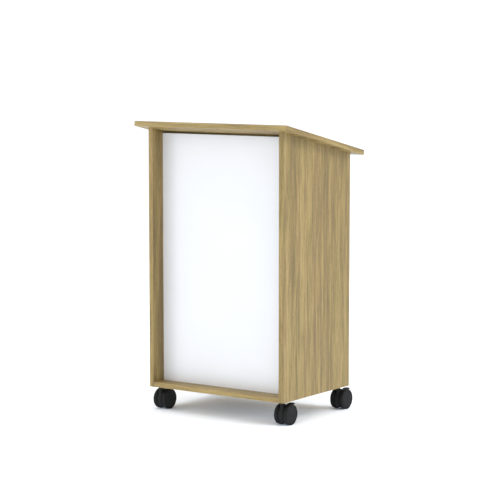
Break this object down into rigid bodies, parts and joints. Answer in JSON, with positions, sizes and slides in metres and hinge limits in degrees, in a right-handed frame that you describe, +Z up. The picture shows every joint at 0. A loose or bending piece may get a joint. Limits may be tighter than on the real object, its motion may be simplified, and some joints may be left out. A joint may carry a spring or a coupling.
{
  "type": "presentation lectern",
  "caption": "Mobile box lectern with a sloping desktop, recessed front panel, open shelved back and braked twin-wheel casters.",
  "frame": {"origin": "on the floor, at the bottom centre of the bounding box", "axes": "+Z up; +Y from the audience's side towards the presenter's open side; +X the audience's right"},
  "size_m": [0.685, 0.533, 1.0978],
  "materials": {
    "oak_laminate": "matt wood-grain laminate",
    "oak_edge_band": "matt wood-grain edge band",
    "white_laminate": "matt white laminate",
    "beech_dowel": "bare beech",
    "zinc_plated_steel": "zinc plated",
    "zinc_alloy": "die-cast zinc alloy",
    "brass_insert": "plain brass",
    "anodised_aluminium": "satin anodised",
    "black_nylon": "fine-textured black nylon",
    "black_tread": "soft black polyurethane"
  },
  "bodies": {
    "cabinet": {"base_edge_bands": "oak_edge_band", "base_panel": "oak_laminate", "bracket_screws": "zinc_plated_steel", "cam_bolts": "zinc_plated_steel", "cam_locks": "zinc_alloy", "caster_inserts": "brass_insert", "caster_retaining_rings": "zinc_plated_steel", "caster_stems": "zinc_plated_steel", "caster_washers": "zinc_plated_steel", "desktop": "oak_laminate", "desktop_brackets": "zinc_plated_steel", "desktop_edge_bands": "oak_edge_band", "fixed_shelf": "oak_laminate", "fixed_shelf_edge_band": "oak_edge_band", "front_panel": "white_laminate", "front_panel_edge_band": "white_laminate", "front_top_rail": "oak_laminate", "left_side_edge_bands": "oak_edge_band", "left_side_panel": "oak_laminate", "paper_stop": "anodised_aluminium", "paper_stop_screws": "zinc_plated_steel", "rear_top_rail": "oak_laminate", "right_side_edge_bands": "oak_edge_band", "right_side_panel": "oak_laminate", "shelf_pins": "zinc_plated_steel", "wood_dowels": "beech_dowel"},
    "shelf": {"adjustable_shelf": "oak_laminate", "adjustable_shelf_edge_band": "oak_edge_band"},
    "front_left_caster": {"front_left_housing": "black_nylon", "front_left_axle": "zinc_plated_steel", "front_left_brake_pin": "zinc_plated_steel"},
    "front_left_left_wheel": {"front_left_left_hub": "black_nylon", "front_left_left_tread": "black_tread"},
    "front_left_right_wheel": {"front_left_right_hub": "black_nylon", "front_left_right_tread": "black_tread"},
    "front_left_pedal": {"front_left_brake_pedal": "black_nylon"},
    "front_right_caster": {"front_right_housing": "black_nylon", "front_right_axle": "zinc_plated_steel", "front_right_brake_pin": "zinc_plated_steel"},
    "front_right_left_wheel": {"front_right_left_hub": "black_nylon", "front_right_left_tread": "black_tread"},
    "front_right_right_wheel": {"front_right_right_hub": "black_nylon", "front_right_right_tread": "black_tread"},
    "front_right_pedal": {"front_right_brake_pedal": "black_nylon"},
    "rear_left_caster": {"rear_left_housing": "black_nylon", "rear_left_axle": "zinc_plated_steel", "rear_left_brake_pin": "zinc_plated_steel"},
    "rear_left_left_wheel": {"rear_left_left_hub": "black_nylon", "rear_left_left_tread": "black_tread"},
    "rear_left_right_wheel": {"rear_left_right_hub": "black_nylon", "rear_left_right_tread": "black_tread"},
    "rear_left_pedal": {"rear_left_brake_pedal": "black_nylon"},
    "rear_right_caster": {"rear_right_housing": "black_nylon", "rear_right_axle": "zinc_plated_steel", "rear_right_brake_pin": "zinc_plated_steel"},
    "rear_right_left_wheel": {"rear_right_left_hub": "black_nylon", "rear_right_left_tread": "black_tread"},
    "rear_right_right_wheel": {"rear_right_right_hub": "black_nylon", "rear_right_right_tread": "black_tread"},
    "rear_right_pedal": {"rear_right_brake_pedal": "black_nylon"}
  },
  "joints": [
    {"name": "adjustable_shelf_slide", "type": "slide", "parent": "cabinet", "child": "shelf", "axis": [0, 1, 0], "range_m": [0, 0.13]},
    {"name": "front_left_swivel", "type": "hinge", "parent": "cabinet", "child": "front_left_caster", "pos_m": [-0.278, -0.19318, 0.089], "axis": [0, 0, 1], "continuous": true},
    {"name": "front_left_left_wheel_spin", "type": "hinge", "parent": "front_left_caster", "child": "front_left_left_wheel", "pos_m": [-0.278, -0.16917, 0.038], "axis": [1, 0, 0], "continuous": true},
    {"name": "front_left_right_wheel_spin", "type": "hinge", "parent": "front_left_caster", "child": "front_left_right_wheel", "pos_m": [-0.278, -0.16917, 0.038], "axis": [1, 0, 0], "continuous": true},
    {"name": "front_left_brake", "type": "hinge", "parent": "front_left_caster", "child": "front_left_pedal", "pos_m": [-0.278, -0.15518, 0.058], "axis": [-1, 0, 0], "range_deg": [0, 12]},
    {"name": "front_right_swivel", "type": "hinge", "parent": "cabinet", "child": "front_right_caster", "pos_m": [0.278, -0.19318, 0.089], "axis": [0, 0, 1], "continuous": true},
    {"name": "front_right_left_wheel_spin", "type": "hinge", "parent": "front_right_caster", "child": "front_right_left_wheel", "pos_m": [0.278, -0.16917, 0.038], "axis": [1, 0, 0], "continuous": true},
    {"name": "front_right_right_wheel_spin", "type": "hinge", "parent": "front_right_caster", "child": "front_right_right_wheel", "pos_m": [0.278, -0.16917, 0.038], "axis": [1, 0, 0], "continuous": true},
    {"name": "front_right_brake", "type": "hinge", "parent": "front_right_caster", "child": "front_right_pedal", "pos_m": [0.278, -0.15518, 0.058], "axis": [-1, 0, 0], "range_deg": [0, 12]},
    {"name": "rear_left_swivel", "type": "hinge", "parent": "cabinet", "child": "rear_left_caster", "pos_m": [-0.278, 0.18682, 0.089], "axis": [0, 0, 1], "continuous": true},
    {"name": "rear_left_left_wheel_spin", "type": "hinge", "parent": "rear_left_caster", "child": "rear_left_left_wheel", "pos_m": [-0.278, 0.21083, 0.038], "axis": [1, 0, 0], "continuous": true},
    {"name": "rear_left_right_wheel_spin", "type": "hinge", "parent": "rear_left_caster", "child": "rear_left_right_wheel", "pos_m": [-0.278, 0.21083, 0.038], "axis": [1, 0, 0], "continuous": true},
    {"name": "rear_left_brake", "type": "hinge", "parent": "rear_left_caster", "child": "rear_left_pedal", "pos_m": [-0.278, 0.22482, 0.058], "axis": [-1, 0, 0], "range_deg": [0, 12]},
    {"name": "rear_right_swivel", "type": "hinge", "parent": "cabinet", "child": "rear_right_caster", "pos_m": [0.278, 0.18682, 0.089], "axis": [0, 0, 1], "continuous": true},
    {"name": "rear_right_left_wheel_spin", "type": "hinge", "parent": "rear_right_caster", "child": "rear_right_left_wheel", "pos_m": [0.278, 0.21083, 0.038], "axis": [1, 0, 0], "continuous": true},
    {"name": "rear_right_right_wheel_spin", "type": "hinge", "parent": "rear_right_caster", "child": "rear_right_right_wheel", "pos_m": [0.278, 0.21083, 0.038], "axis": [1, 0, 0], "continuous": true},
    {"name": "rear_right_brake", "type": "hinge", "parent": "rear_right_caster", "child": "rear_right_pedal", "pos_m": [0.278, 0.22482, 0.058], "axis": [-1, 0, 0], "range_deg": [0, 12]}
  ]
}
